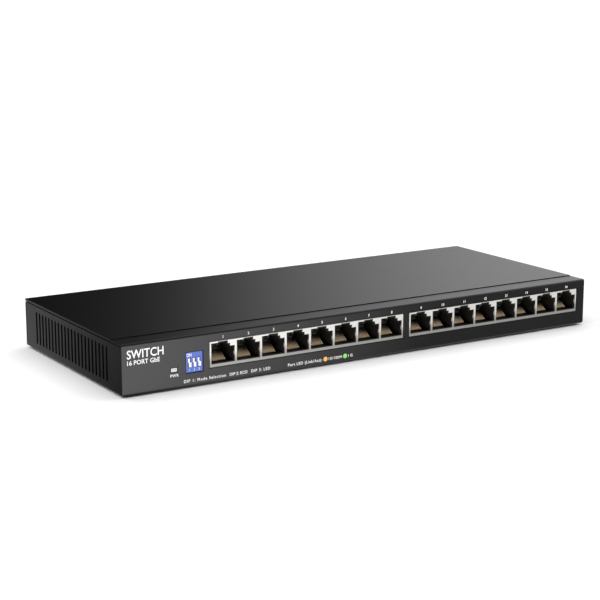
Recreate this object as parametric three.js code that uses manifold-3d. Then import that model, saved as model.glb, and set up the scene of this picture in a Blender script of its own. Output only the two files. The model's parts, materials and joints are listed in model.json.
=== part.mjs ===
// A 16-port desktop network switch: a painted steel tray and lid round a main board that carries two ganged
// modular-jack blocks, a three-way DIP switch, a power light and a DC inlet.
// Millimetres. +X is to the right seen from the front, -Y is the front, +Z is up.
// The origin is on the surface that the switch stands on, under the middle of the case.
import * as THREE from "three";
import { mergeVertices } from "three/addons/utils/BufferGeometryUtils.js";
import Module from "manifold-3d";

const wasm = await Module();
wasm.setup();

// ---------------------------------------------------------------- driving dimensions

const CASE = { width: 280, depth: 115, height: 25 };
const FOOT = { height: 1, radius: 6.5, bevel: 0.3, inset_x: 20, inset_y: 15 };
const SHEET = 1; // thickness of the tray's steel
const BEND = 1; // outside radius of the tray's folds
const FIT = 0.1; // clearance between pieces that rest on or in each other
const SEAM = 0.3; // open joint at the tray's corners

const FLANGE_DEPTH = 11.3; // the front panel's top return, which the lid butts against
const FLANGE_TOP = 24.65; // its upper face, a little lower than the lid
const WALL_TOP = 23.3; // top edge of the side and rear walls, above the case's underside
const LID = {
  gap: 0.5,
  seam: 0.4,
  lip: 1,
  lip_drop: 5.5,
  tongue: 5,
  tongue_low: 22.5,
  tongue_high: 23.3,
  tab_drop: 9,
  tab_half: 6,
  root: 4, // where the lips and the tongue's root end, behind the lid's front edge
  joggle: 0.6,
};

const VENT = { count: 22, pitch: 4, width: 1.9, length: 17, middle: 12.25, first: 16.3 };

const PORTS = { per_block: 8, pitch: 13.97 };
const BLOCK = { length: 112.3, left: 46, gap: 3.9, low: 7.5, high: 19.9, depth: 18, base: 6.5 };
const PANEL_GAP = 0.35; // clearance round what shows through the front panel
const SHIELD = { front: 0.1, wall: 0.4, step: 1.3 };
// The plug's opening in a jack: half widths of the body and of the two steps of the latch's notch.
const PLUG = {
  floor: 9.4, top: 16.4, half: 5.95, step_top: 17.9, step_half: 3.3, slot_top: 18.9, slot_half: 2.1,
};
const PLUG_DEPTH = 13.5;
const HOUSING_BACK = 17.5; // back of the jacks' plastic, behind the front face
// The same opening in the steel shield, which clears the plastic all round.
const WINDOW = {
  floor: 8.9, top: 16.9, half: 6.4, step_top: 18.3, step_half: 3.9, slot_top: 19.7, slot_half: 2.66,
};
// The light pipe's prong at a port's upper left, from the port's middle, and the shield's window there.
const LAMP = {
  left: -6.1, right: -3.6, low: 17, high: 19, front: 1.6, rail_depth: 1.5, window_top: 19.15,
};
// A port's spring wires, from where they leave the floor to their free ends.
const WIRE = {
  count: 8, pitch: 1.02, width: 0.46, thick: 0.35, front: 5.4, back: 11.2, low: 9.45, high: 13.7,
};
const CARRIER = { half: 4.4, front: 4, back: 14.3, clearance: 0.2 };

const BOARD = { top: 6.4, thick: 1.6, half_width: 136, front: 1.4, back: 110, screw_hole: 1.7 };
const BOSS = { radius: 4, bore: 1.5, floor: 1.4, reach: 128, front: 24.5, back: 103.5 };

const DIP = { x: 37.8, z: 11.5, width: 8.8, height: 9.7, front: 0.3, depth: 8 };
const SLIDER = {
  count: 3, pitch: 2.54, travel: 2, knob_low: 9.45, knob_height: 2.1, knob_half: 0.6, knob_proud: 0.8,
  slot_low: 9.25, slot_height: 4.5, slot_half: 0.7, slot_depth: 0.4,
  base_half: 0.95, base_depth: 0.8, base_extra: 0.7,
};
const LIGHT = { x: 27, z: 9, width: 3.2, height: 1.8, front: 0.2, depth: 7, foot: 2 };
const LENS_GROOVE = { half_width: 1.05, half_height: 0.2, depth: 0.3 };

const INLET = {
  x: 35, width: 9.2, height: 11, depth: 14, hole: 4,
  bore: 3.2, bore_rise: 6, bore_depth: 10, pin: 1.05, pin_inset: 1.5,
};
const LEAF = {
  half: 1, front: 8.8, back: 3.4, low: 1.2, thick: 0.4, slot_top: 4,
  bump_front: 5.4, bump_back: 4.4, bump_top: 3.2,
};
const COVER_SCREWS = [22, 140, 258]; // x from the left side
const COVER_SCREW = { rise: 18, head: 2.8, shank: 1.2, length: 7, head_depth: 1, inset: 0.1, clearance: 0.4 };
const BOARD_SCREW = { head: 2.8, crown: 2.2, shank: 1.2, length: 4.6, head_height: 1.8, rim: 1.2 };
const RECESS = { width: 0.7, depth: 0.7, reach: 3.1 };
const KEYHOLE = { spacing: 140, y: 57.5, head: 4, shank: 1.9, rise: 8 };

// Parts on the board: x from the left side, y behind the front face.
const CHIP_HEIGHT = 1.6;
const SINK = { height: 8, base: 2, fins: 8, fin: 1.2 };
const CHIPS = [
  { chip: "switch_chip", sink: "switch_heatsink", x: 112, y: 66, side: 24, sink_side: 28 },
  { chip: "phy_chip", sink: "phy_heatsink", x: 200, y: 66, side: 20, sink_side: 25 },
];
const TRANSFORMER = { x: [74, 130, 190, 246], y: 34, width: 30, depth: 14, height: 6 };
const CAPACITOR = { x: [40, 52], y: 80, radius: 4, height: 10, rim: 0.4 };
const INDUCTOR = { x: 66, y: 84, side: 10, height: 4.5 };
const CRYSTAL = { x: 154, y: 70, reach: 3.3, radius: 2.2, height: 3.4 };
const POWER_LED = { width: 1.8, depth: 1, height: 0.55 };

// ---------------------------------------------------------------- places in the part's own frame

const atX = (fromLeft) => fromLeft - CASE.width / 2;
const atY = (fromFront) => fromFront - CASE.depth / 2;
const atZ = (aboveCase) => aboveCase + FOOT.height;

// The ganged jacks are numbered 0 and 1 from the left, and the ports in each 0 to 7.
const blockStart = (b) => BLOCK.left + b * (BLOCK.length + BLOCK.gap);
const portX = (b, p) => blockStart(b) + BLOCK.length / 2 + (p - (PORTS.per_block - 1) / 2) * PORTS.pitch;

// Each board screw's x in the part's frame, and its distance behind the front face.
const BOARD_SCREWS = [BOSS.front, BOSS.back].flatMap((y) => [-1, 1].map((side) => [side * BOSS.reach, y]));

// ---------------------------------------------------------------- solids from three.js geometry

function solid(geometry) {
  const bare = geometry.clone();
  bare.deleteAttribute("normal");
  bare.deleteAttribute("uv");
  const merged = mergeVertices(bare, 1e-4);
  return new wasm.Manifold(
    new wasm.Mesh({
      numProp: 3,
      vertProperties: new Float32Array(merged.attributes.position.array),
      triVerts: new Uint32Array(merged.index.array),
    }),
  );
}

function geometryOf(made) {
  const mesh = made.getMesh();
  return new THREE.BufferGeometry()
    .setAttribute("position", new THREE.BufferAttribute(mesh.vertProperties, 3))
    .setIndex(new THREE.BufferAttribute(mesh.triVerts, 1));
}

// A box between two corners, given as distances from the case's left side, front face and underside.
function block(left, right, front, back, low, high) {
  const geometry = new THREE.BoxGeometry(right - left, back - front, high - low);
  geometry.translate(atX((left + right) / 2), atY((front + back) / 2), atZ((low + high) / 2));
  return solid(geometry);
}

function polygon(points) {
  return new THREE.Shape(points.map(([u, v]) => new THREE.Vector2(u, v)));
}

const AXES = { x: new THREE.Vector3(1, 0, 0), y: new THREE.Vector3(0, 1, 0), z: new THREE.Vector3(0, 0, 1) };

// Extrudes a shape along one axis. The shape's u and v run along the other two, in the order given.
function extrude(shape, length, u, v, curveSegments = 4) {
  const geometry = new THREE.ExtrudeGeometry(shape, { depth: length, bevelEnabled: false, curveSegments });
  const [across, up] = [AXES[u], AXES[v]];
  geometry.applyMatrix4(new THREE.Matrix4().makeBasis(across, up, across.clone().cross(up)));
  return geometry;
}

// An upright outline, seen from the front, pushed back from one depth to another.
function fromFront(shape, front, back, curveSegments) {
  return solid(extrude(shape, back - front, "x", "z", curveSegments).translate(0, atY(back), 0));
}

// An upright outline, seen from the right-hand side, between two distances from the left side.
function fromSide(shape, left, right, curveSegments) {
  return solid(extrude(shape, right - left, "y", "z", curveSegments).translate(atX(left), 0, 0));
}

// A turned piece whose axis points along +Z, or along the direction given.
function turned(profile, segments, direction = "z") {
  const points = profile.map(([r, h]) => new THREE.Vector2(r, h));
  const geometry = new THREE.LatheGeometry([...points, points[0]], segments);
  geometry.rotateX(Math.PI / 2);
  if (direction === "y") geometry.rotateX(-Math.PI / 2);
  return geometry;
}

function cylinder(radius, low, high, segments, direction = "z") {
  return turned([[0, low], [radius, low], [radius, high], [0, high]], segments, direction);
}

function joined(parts) {
  return parts.reduce((all, part) => all.add(part));
}

function cut(body, tools) {
  return tools.reduce((left, tool) => left.subtract(tool), body);
}

// ---------------------------------------------------------------- materials

const finish = (color, roughness, metalness = 0) =>
  new THREE.MeshStandardMaterial({ color, roughness, metalness });

const MATERIAL = {
  steel: finish(0x2b2b2c, 0.5, 0.2),
  shield: finish(0xd8d6cf, 0.3, 0.9),
  black_plastic: finish(0x0c0c0d, 0.5),
  gold: finish(0xc9a063, 0.3, 1),
  lamp: finish(0x9fae8f, 0.25),
  blue_plastic: finish(0x3f55c8, 0.4),
  white_plastic: finish(0xf2f2f0, 0.4),
  board: finish(0x17452c, 0.5),
  chip: finish(0x131314, 0.6),
  aluminium: finish(0xa9abad, 0.4, 0.9),
  rubber: finish(0x111111, 0.9),
  screw: finish(0x35363a, 0.35, 0.9),
  can: finish(0x23262e, 0.4, 0.4),
};

const group = new THREE.Group();

function add(name, shape, material) {
  const geometry = shape.isBufferGeometry ? shape : geometryOf(shape);
  geometry.computeVertexNormals();
  const mesh = new THREE.Mesh(geometry, MATERIAL[material]);
  mesh.name = name;
  group.add(mesh);
  return mesh;
}

// ---------------------------------------------------------------- tray

// The tray's outline across the case: square at the top, folded round at the bottom.
function frontOutline() {
  const [left, right, low, high] = [atX(0), atX(CASE.width), atZ(0), atZ(FLANGE_TOP)];
  const shape = new THREE.Shape();
  shape.moveTo(left, high);
  shape.lineTo(left, low + BEND);
  shape.absarc(left + BEND, low + BEND, BEND, Math.PI, 1.5 * Math.PI, false);
  shape.absarc(right - BEND, low + BEND, BEND, 1.5 * Math.PI, 2 * Math.PI, false);
  shape.lineTo(right, high);
  return shape;
}

// The tray's outline from the side: also folded round where the front panel turns back under the lid's edge.
function sideOutline() {
  const [front, back, low, high] = [atY(0), atY(CASE.depth), atZ(0), atZ(FLANGE_TOP)];
  const shape = new THREE.Shape();
  shape.moveTo(front, high - SHEET);
  shape.lineTo(front, low + BEND);
  shape.absarc(front + BEND, low + BEND, BEND, Math.PI, 1.5 * Math.PI, false);
  shape.absarc(back - BEND, low + BEND, BEND, 1.5 * Math.PI, 2 * Math.PI, false);
  shape.lineTo(back, high);
  shape.absarc(front + SHEET, high - SHEET, SHEET, 0.5 * Math.PI, Math.PI, false);
  return shape;
}

function ventOutline(middleY) {
  const [half, reach, z] = [VENT.width / 2, (VENT.length - VENT.width) / 2, atZ(VENT.middle)];
  const shape = new THREE.Shape();
  shape.absarc(middleY, z + reach, half, 0, Math.PI, false);
  shape.absarc(middleY, z - reach, half, Math.PI, 2 * Math.PI, false);
  return shape;
}

function keyholeOutline(x) {
  const [y, rise] = [atY(KEYHOLE.y), KEYHOLE.rise];
  const neck = Math.asin(KEYHOLE.shank / KEYHOLE.head);
  const shape = new THREE.Shape();
  shape.absarc(x, y, KEYHOLE.head, Math.PI / 2 + neck, 2.5 * Math.PI - neck, false);
  shape.absarc(x, y + rise, KEYHOLE.shank, 0, Math.PI, false);
  return shape;
}

function trayOpenings() {
  const [beyond, through] = [CASE.width + 10, 2 * SHEET];
  const tools = [
    // the inside, the open top behind the front panel's return, and the gap under that return's ends
    block(SHEET, CASE.width - SHEET, SHEET, CASE.depth - SHEET, SHEET, FLANGE_TOP - SHEET),
    block(-10, beyond, FLANGE_DEPTH, CASE.depth + 10, WALL_TOP, CASE.height + 10),
    block(-10, beyond, SHEET, FLANGE_DEPTH + 1, WALL_TOP, FLANGE_TOP - SHEET),
  ];
  // the open joints where the walls meet at the four corners
  for (const x of [-1, CASE.width - SHEET - 1])
    for (const y of [SHEET, CASE.depth - SHEET - SEAM])
      tools.push(block(x, x + SHEET + 2, y, y + SEAM, 2 * BEND, FLANGE_TOP - SHEET));
  for (let i = 0; i < VENT.count; i++) {
    const outline = ventOutline(atY(VENT.first + i * VENT.pitch));
    tools.push(fromSide(outline, -1, through));
    tools.push(fromSide(outline, CASE.width - through, CASE.width + 1));
  }
  const panelWindow = (left, right, low, high) =>
    block(left - PANEL_GAP, right + PANEL_GAP, -1, through, low - PANEL_GAP, high + PANEL_GAP);
  for (let b = 0; b < 2; b++)
    tools.push(panelWindow(blockStart(b), blockStart(b) + BLOCK.length, BLOCK.low, BLOCK.high));
  for (const { x, z, width, height } of [DIP, LIGHT])
    tools.push(panelWindow(x - width / 2, x + width / 2, z - height / 2, z + height / 2));
  const inletRise = atZ(BLOCK.base + INLET.bore_rise);
  const inletHole = cylinder(INLET.hole, -through, through, 24, "y");
  tools.push(solid(inletHole.translate(atX(INLET.x), atY(CASE.depth), inletRise)));
  for (const x of COVER_SCREWS) tools.push(countersink(x));
  for (const side of [-1, 1]) {
    const outline = keyholeOutline((side * KEYHOLE.spacing) / 2);
    tools.push(solid(extrude(outline, 2 * through, "x", "y").translate(0, 0, atZ(-1))));
  }
  return tools;
}

// The countersunk hole in the rear wall for a cover screw.
function countersink(x) {
  const hole = COVER_SCREW.shank + COVER_SCREW.clearance;
  const mouth = COVER_SCREW.head + 2 * FIT;
  const profile = [
    [0, -3 * SHEET],
    [hole, -3 * SHEET],
    [hole, -COVER_SCREW.head_depth],
    [mouth, 0],
    [mouth, SHEET],
    [0, SHEET],
  ];
  return solid(atCoverScrew(turned(profile, 20, "y"), x));
}

const atCoverScrew = (geometry, x) => geometry.translate(atX(x), atY(CASE.depth), atZ(COVER_SCREW.rise));

// An upright cylinder at each of the board's four screws, between two heights above the case's underside.
function atBoardScrews(radius, low, high, segments) {
  const post = cylinder(radius, low, high, segments);
  return BOARD_SCREWS.map(([x, y]) => solid(post.clone().translate(x, atY(y), FOOT.height)));
}

function tray() {
  const acrossFront = fromFront(frontOutline(), 0, CASE.depth, 5);
  const alongSide = fromSide(sideOutline(), 0, CASE.width, 5);
  const shell = cut(acrossFront.intersect(alongSide), trayOpenings());
  const bosses = atBoardScrews(BOSS.radius, SHEET / 2, BOARD.top - BOARD.thick - FIT, 20);
  return cut(joined([shell, ...bosses]), atBoardScrews(BOSS.bore, BOSS.floor, BOARD.top, 12));
}

add("base_chassis", tray(), "steel");

// ---------------------------------------------------------------- lid

function lid() {
  const front = FLANGE_DEPTH + LID.seam;
  const under = WALL_TOP + LID.gap;
  const [inset, lip] = [SHEET + SEAM, LID.lip];
  const inner = CASE.width - inset;
  const rear = CASE.depth - inset;
  const drop = WALL_TOP - LID.lip_drop;
  const hole = COVER_SCREW.shank + COVER_SCREW.clearance;
  const parts = [
    block(0, CASE.width, front, CASE.depth, under, CASE.height),
    // lips that drop inside the side walls and the rear wall
    block(inset, inset + lip, front + LID.root, rear, drop, under + FIT),
    block(inner - lip, inner, front + LID.root, rear, drop, under + FIT),
    block(inset, inner, rear - lip, rear, drop, under + FIT),
    // the deeper tabs of the rear lip that the cover screws hold
    ...COVER_SCREWS.map((x) =>
      block(x - LID.tab_half, x + LID.tab_half, rear - lip, rear, WALL_TOP - LID.tab_drop, drop + FIT),
    ),
    // the joggled tongue that hooks under the front panel's return
    block(inset, inner, front - LID.tongue, front + LID.root, LID.tongue_low, LID.tongue_high),
    block(inset, inner, front + LID.joggle, front + LID.root, LID.tongue_low, under + FIT),
  ];
  const bore = cylinder(hole, -6 * SHEET, 0, 16, "y");
  const holes = COVER_SCREWS.map((x) => solid(atCoverScrew(bore.clone(), x)));
  return cut(joined(parts), holes);
}

add("top_cover", lid(), "steel");

// ---------------------------------------------------------------- feet

const footProfile = [
  [0, 0],
  [FOOT.radius - FOOT.bevel, 0],
  [FOOT.radius, FOOT.bevel],
  [FOOT.radius, FOOT.height - FIT],
  [0, FOOT.height - FIT],
];
for (const [end, y] of [["front", FOOT.inset_y], ["rear", CASE.depth - FOOT.inset_y]])
  for (const [side, x] of [["left", FOOT.inset_x], ["right", CASE.width - FOOT.inset_x]])
    add(`foot_${end}_${side}`, turned(footProfile, 24), "rubber").position.set(atX(x), atY(y), 0);

// ---------------------------------------------------------------- screws

// A screw turned from its profile, with a cross recess cut down into its head from the top.
function screw(profile) {
  const top = profile.at(-1)[1];
  const arm = (across, along) =>
    solid(new THREE.BoxGeometry(across, along, 2 * RECESS.depth).translate(0, 0, top));
  const cross = arm(RECESS.reach, RECESS.width).add(arm(RECESS.width, RECESS.reach));
  return geometryOf(solid(turned(profile, 16)).subtract(cross));
}

// A flat-headed cover screw: the sheet's face is at height 0 and the shank runs down.
const coverScrewProfile = [
  [0, -COVER_SCREW.length],
  [COVER_SCREW.shank, -COVER_SCREW.length],
  [COVER_SCREW.shank, -COVER_SCREW.head_depth],
  [COVER_SCREW.head, -COVER_SCREW.inset],
  [0, -COVER_SCREW.inset],
];
COVER_SCREWS.forEach((x, i) => {
  add(`cover_screw_${i + 1}`, atCoverScrew(screw(coverScrewProfile).rotateX(-Math.PI / 2), x), "screw");
});

// A pan-headed board screw: its head sits on the board at height 0.
const boardScrewProfile = [
  [0, -BOARD_SCREW.length],
  [BOARD_SCREW.shank, -BOARD_SCREW.length],
  [BOARD_SCREW.shank, 0],
  [BOARD_SCREW.head, 0],
  [BOARD_SCREW.head, BOARD_SCREW.rim],
  [BOARD_SCREW.crown, BOARD_SCREW.head_height],
  [0, BOARD_SCREW.head_height],
];
BOARD_SCREWS.forEach(([x, y], i) => {
  const made = add(`board_screw_${i + 1}`, screw(boardScrewProfile), "screw");
  made.position.set(x, atY(y), atZ(BOARD.top + FIT));
});

// ---------------------------------------------------------------- main board

function mainBoard() {
  const half = BOARD.half_width;
  const middle = CASE.width / 2;
  const underside = BOARD.top - BOARD.thick;
  const sheet = block(middle - half, middle + half, BOARD.front, BOARD.back, underside, BOARD.top);
  return cut(sheet, atBoardScrews(BOARD.screw_hole, 0, 2 * BOARD.top, 16));
}

add("main_board", mainBoard(), "board");

// ---------------------------------------------------------------- ganged modular jacks

// The stepped outline of a plug with its latch, round the middle of a port.
function plugOutline(x, o) {
  return [
    [x - o.half, atZ(o.floor)],
    [x + o.half, atZ(o.floor)],
    [x + o.half, atZ(o.top)],
    [x + o.step_half, atZ(o.top)],
    [x + o.step_half, atZ(o.step_top)],
    [x + o.slot_half, atZ(o.step_top)],
    [x + o.slot_half, atZ(o.slot_top)],
    [x - o.slot_half, atZ(o.slot_top)],
  ];
}

function jackShield(b) {
  const [start, end] = [blockStart(b), blockStart(b) + BLOCK.length];
  const { front, wall } = SHIELD;
  const shell = block(start, end, front, BLOCK.depth, BLOCK.base, BLOCK.high);
  const tools = [
    block(start + wall, end - wall, front + wall, BLOCK.depth + 1, BLOCK.base - 1, BLOCK.high - wall),
    // the lower edge stands back behind the front panel
    block(start - 1, end + 1, front - 1, SHIELD.step, BLOCK.base - 1, BLOCK.low),
  ];
  for (let p = 0; p < PORTS.per_block; p++) {
    const x = atX(portX(b, p));
    const outline = [
      ...plugOutline(x, WINDOW),
      [x - WINDOW.slot_half, atZ(LAMP.window_top)],
      [x - WINDOW.half, atZ(LAMP.window_top)],
    ];
    tools.push(fromFront(polygon(outline), front - 1, front + wall + 1));
  }
  return cut(shell, tools);
}

function jackHousing(b) {
  const margin = SHIELD.wall + FIT;
  const [start, end] = [blockStart(b) + margin, blockStart(b) + BLOCK.length - margin];
  const front = SHIELD.front + margin;
  const body = block(start, end, front, HOUSING_BACK, BLOCK.base + FIT, BLOCK.high - margin);
  const tools = [block(start - 1, end + 1, front - 1, SHIELD.step, BLOCK.base - 1, BLOCK.low + 2 * FIT)];
  const half = CARRIER.half + CARRIER.clearance;
  const [channelFront, channelBack] = [CARRIER.front - CARRIER.clearance, CARRIER.back + CARRIER.clearance];
  const [pipeLeft, pipeRight] = [LAMP.left - FIT, LAMP.right + FIT];
  for (let p = 0; p < PORTS.per_block; p++) {
    const middle = portX(b, p);
    const x = atX(middle);
    const outline = [
      ...plugOutline(x, PLUG),
      [x - PLUG.slot_half, atZ(PLUG.step_top)],
      [x - PLUG.step_half, atZ(PLUG.step_top)],
      [x - PLUG.step_half, atZ(PLUG.top)],
      [x - PLUG.half, atZ(PLUG.top)],
    ];
    tools.push(fromFront(polygon(outline), front - 1, PLUG_DEPTH));
    // the channel under the floor that takes the contact insert, and the way through for the light pipe
    tools.push(
      block(middle - half, middle + half, channelFront, channelBack, BLOCK.base - 1, PLUG.floor + FIT),
      block(middle + pipeLeft, middle + pipeRight, front - 1, BLOCK.depth, LAMP.low - FIT, LAMP.high + FIT),
    );
  }
  return cut(body, tools);
}

// A moulded comb of clear prongs that carries the lamps' light to the left shoulder of each port.
function lightPipe(b) {
  const { left, right, low, high, front, rail_depth } = LAMP;
  const [railFront, railBack] = [HOUSING_BACK + FIT, HOUSING_BACK + FIT + rail_depth];
  const [first, last] = [portX(b, 0), portX(b, PORTS.per_block - 1)];
  const parts = [block(first + left, last + right, railFront, railBack, low, high)];
  for (let p = 0; p < PORTS.per_block; p++)
    parts.push(block(portX(b, p) + left, portX(b, p) + right, front, railBack, low, high));
  return joined(parts);
}

// A port's insert: a carrier in the floor and eight spring wires that rise towards the back.
function contactInsert() {
  const { count, pitch, width, thick, front, back, low, high } = WIRE;
  const floor = PLUG.floor - CARRIER.clearance;
  const [carrierLeft, carrierRight] = [CASE.width / 2 - CARRIER.half, CASE.width / 2 + CARRIER.half];
  const carrier = block(
    carrierLeft, carrierRight, CARRIER.front, CARRIER.back, BLOCK.base + FIT, floor,
  );
  const side = [
    [front - 1, floor - thick],
    [front + thick, floor - thick],
    [back + thick / 2, high - thick],
    [back, high],
    [front, low],
    [front - 1, floor + thick / 2],
  ].map(([y, z]) => [atY(y), atZ(z)]);
  const wires = Array.from({ length: count }, (_, i) => {
    const x = (i - (count - 1) / 2) * pitch;
    return solid(extrude(polygon(side), width, "y", "z").translate(x - width / 2, 0, 0));
  });
  return geometryOf(joined([carrier, ...wires]));
}

const insert = contactInsert();
["left", "right"].forEach((side, b) => {
  add(`jack_shield_${side}`, jackShield(b), "shield");
  add(`jack_housing_${side}`, jackHousing(b), "black_plastic");
  add(`port_light_pipe_${side}`, lightPipe(b), "lamp");
  for (let p = 0; p < PORTS.per_block; p++) {
    const number = String(b * PORTS.per_block + p + 1).padStart(2, "0");
    add(`port_contacts_${number}`, insert.clone(), "gold").position.x = atX(portX(b, p));
  }
});

// ---------------------------------------------------------------- DIP switch

const sliderX = (i) => DIP.x + (i - (SLIDER.count - 1) / 2) * SLIDER.pitch;

// The lowest and highest points of the hollow behind a slot, in which the slider's tongue runs.
function chamberSpan() {
  const beyond = SLIDER.base_extra + SLIDER.travel / 2;
  return [SLIDER.slot_low - beyond, SLIDER.slot_low + SLIDER.slot_height + beyond];
}

function dipBody() {
  const [halfWidth, halfHeight] = [DIP.width / 2, DIP.height / 2];
  const { slot_low, slot_height, slot_half, slot_depth, base_half, base_depth } = SLIDER;
  const [left, right, back] = [DIP.x - halfWidth, DIP.x + halfWidth, DIP.front + DIP.depth];
  const body = block(left, right, DIP.front, back, DIP.z - halfHeight, DIP.z + halfHeight);
  const chamber = DIP.front + slot_depth;
  const chamberBack = chamber + base_depth + 2 * FIT;
  const [low, high] = chamberSpan();
  const side = base_half + FIT;
  const tools = [];
  for (let i = 0; i < SLIDER.count; i++) {
    const x = sliderX(i);
    tools.push(
      block(x - slot_half, x + slot_half, DIP.front - 1, chamber + FIT, slot_low, slot_low + slot_height),
      block(x - side, x + side, chamber, chamberBack, low, high),
    );
  }
  return cut(body, tools);
}

// A slider at its lower, off, position: a knob in the slot on a wider tongue that runs behind it.
function dipSlider(i) {
  const x = sliderX(i);
  const { knob_low, knob_height, knob_half, knob_proud, slot_depth, base_half, base_depth, travel } = SLIDER;
  const tongue = DIP.front + slot_depth + FIT;
  const [low, high] = chamberSpan();
  const knobFront = DIP.front - knob_proud;
  return joined([
    block(x - knob_half, x + knob_half, knobFront, tongue + FIT, knob_low, knob_low + knob_height),
    block(x - base_half, x + base_half, tongue, tongue + base_depth, low + FIT, high - travel - FIT),
  ]);
}

add("dip_switch_body", dipBody(), "blue_plastic");
for (let i = 0; i < SLIDER.count; i++) add(`dip_slider_${i + 1}`, dipSlider(i), "white_plastic");

// ---------------------------------------------------------------- power light

// A clear block behind the panel with a foot down to the lamp, and a groove across its face.
function powerLightPipe() {
  const { x, z, front, foot } = LIGHT;
  const [halfWidth, halfHeight] = [LIGHT.width / 2, LIGHT.height / 2];
  const [left, right, back] = [x - halfWidth, x + halfWidth, front + LIGHT.depth];
  const { half_width: grooveHalf, half_height, depth } = LENS_GROOVE;
  const body = joined([
    block(left, right, front, back, z - halfHeight, z + halfHeight),
    block(left, right, back - foot, back, BOARD.top + POWER_LED.height + 2 * FIT, z),
  ]);
  const [grooveLow, grooveHigh] = [z - half_height, z + half_height];
  const groove = block(x - grooveHalf, x + grooveHalf, front - 1, front + depth, grooveLow, grooveHigh);
  return body.subtract(groove);
}

add("power_light_pipe", powerLightPipe(), "lamp");

// ---------------------------------------------------------------- DC inlet

function inletParts() {
  const half = INLET.width / 2;
  const back = CASE.depth - SHEET - FIT;
  const rise = atZ(BLOCK.base + INLET.bore_rise);
  const along = (radius, low, high, segments) =>
    solid(cylinder(radius, low, high, segments, "y").translate(atX(INLET.x), atY(back), rise));
  const body = block(
    INLET.x - half, INLET.x + half, back - INLET.depth, back, BLOCK.base + FIT, BLOCK.base + INLET.height,
  );
  const bore = along(INLET.bore, -INLET.bore_depth, 1, 24);
  const pinHole = along(INLET.pin + FIT, -INLET.depth - 1, 0, 16);
  const { half: leafHalf, front, low, thick } = LEAF;
  const sprung = (from, to, top) =>
    block(INLET.x - leafHalf, INLET.x + leafHalf, back - from, back - to, BLOCK.base + low, BLOCK.base + top);
  const slack = 2 * FIT;
  const leafSlot = block(
    INLET.x - leafHalf - slack, INLET.x + leafHalf + slack, back - front - slack, back - LEAF.back + slack,
    BLOCK.base + low - slack, BLOCK.base + LEAF.slot_top,
  );
  const housing = cut(body, [bore, pinHole, leafSlot]);
  const pin = along(INLET.pin, -INLET.depth - INLET.pin_inset, -INLET.pin_inset, 16);
  const strip = sprung(front, LEAF.back, low + thick);
  const bump = sprung(LEAF.bump_front, LEAF.bump_back, LEAF.bump_top);
  return { housing, pin, leaf: strip.add(bump) };
}

const inlet = inletParts();
add("dc_inlet_housing", inlet.housing, "black_plastic");
add("dc_inlet_pin", inlet.pin, "shield");
add("dc_inlet_contact_leaf", inlet.leaf, "shield");

// ---------------------------------------------------------------- parts on the board

const onBoard = BOARD.top + FIT;

// Stands a geometry whose base is at height 0 at a place on the board, or at a height above it.
function mount(name, geometry, material, x, y, above = 0) {
  add(name, geometry, material).position.set(atX(x), atY(y), atZ(onBoard + above));
}

function boxedPart(width, depth, height) {
  return new THREE.BoxGeometry(width, depth, height).translate(0, 0, height / 2);
}

// A square heat sink: a comb of fins on a base plate, extruded from front to back.
function finnedSink(side) {
  const half = side / 2;
  const pitch = (side - SINK.fin) / (SINK.fins - 1);
  const outline = [[-half, 0], [half, 0]];
  for (let i = SINK.fins - 1; i >= 0; i--) {
    const left = -half + i * pitch;
    if (i < SINK.fins - 1) outline.push([left + SINK.fin, SINK.base]);
    outline.push([left + SINK.fin, SINK.height], [left, SINK.height]);
    if (i > 0) outline.push([left, SINK.base]);
  }
  return extrude(polygon(outline), side, "x", "z").translate(0, half, 0);
}

for (const { chip, sink, x, y, side, sink_side } of CHIPS) {
  mount(chip, boxedPart(side, side, CHIP_HEIGHT), "chip", x, y);
  mount(sink, finnedSink(sink_side), "aluminium", x, y, CHIP_HEIGHT + FIT);
}

TRANSFORMER.x.forEach((x, i) => {
  const shape = boxedPart(TRANSFORMER.width, TRANSFORMER.depth, TRANSFORMER.height);
  mount(`port_transformer_${i + 1}`, shape, "chip", x, TRANSFORMER.y);
});

CAPACITOR.x.forEach((x, i) => {
  const { radius, height, rim } = CAPACITOR;
  const profile = [[0, 0], [radius, 0], [radius, height - rim], [radius - rim, height], [0, height]];
  mount(`capacitor_${i + 1}`, turned(profile, 16), "can", x, CAPACITOR.y);
});

const inductor = boxedPart(INDUCTOR.side, INDUCTOR.side, INDUCTOR.height);
mount("power_inductor", inductor, "chip", INDUCTOR.x, INDUCTOR.y);

function crystalCan() {
  const shape = new THREE.Shape();
  shape.absarc(CRYSTAL.reach, 0, CRYSTAL.radius, -Math.PI / 2, Math.PI / 2, false);
  shape.absarc(-CRYSTAL.reach, 0, CRYSTAL.radius, Math.PI / 2, 1.5 * Math.PI, false);
  return extrude(shape, CRYSTAL.height, "x", "y");
}

mount("crystal", crystalCan(), "shield", CRYSTAL.x, CRYSTAL.y);

const ledPlace = LIGHT.front + LIGHT.depth - LIGHT.foot / 2;
mount("power_led", boxedPart(POWER_LED.width, POWER_LED.depth, POWER_LED.height), "lamp", LIGHT.x, ledPlace);

export default group;
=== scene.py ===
"""Looks for a 16-port desktop network switch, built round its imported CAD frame.

Lengths in the tables are millimetres, measured as in the CAD: x from the case's left side, y back from its
front face, z up from its underside. place() turns them into metres in the frame.
"""

import json
from functools import partial
from math import cos, pi, radians, sin

import bmesh
import bpy
from mathutils import Matrix, Vector

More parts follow.
